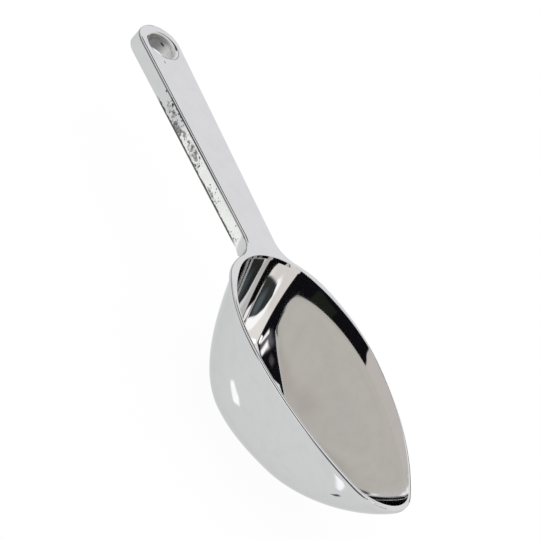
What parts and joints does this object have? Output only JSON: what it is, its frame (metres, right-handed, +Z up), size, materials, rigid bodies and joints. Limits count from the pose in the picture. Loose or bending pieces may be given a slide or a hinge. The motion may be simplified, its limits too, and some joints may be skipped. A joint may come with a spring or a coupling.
{
  "type": "candy scoop",
  "caption": "Small serving scoop with a deep egg-shaped bowl, a tapered channel handle and a round hanging hole, in mirror-silver metallised plastic.",
  "frame": {"origin": "under the middle of the overall length, on the symmetry plane, on the level of the lowest point of the bowl", "axes": "+X from the handle to the tip of the bowl, +Z up out of the bowl's opening, +Y to the left"},
  "size_m": [0.165, 0.0444, 0.0295],
  "materials": {
    "metallised_plastic": "polystyrene with a vacuum-metallised mirror-silver film under clear lacquer, lightly scuffed on the handle's sides"
  },
  "bodies": {
    "root": {"bowl_shell": "metallised_plastic", "bowl_rim": "metallised_plastic", "neck_shoulder": "metallised_plastic", "neck_left_wall": "metallised_plastic", "neck_right_wall": "metallised_plastic", "handle_deck": "metallised_plastic", "handle_left_wall": "metallised_plastic", "handle_right_wall": "metallised_plastic", "hang_eye": "metallised_plastic"}
  },
  "joints": []
}
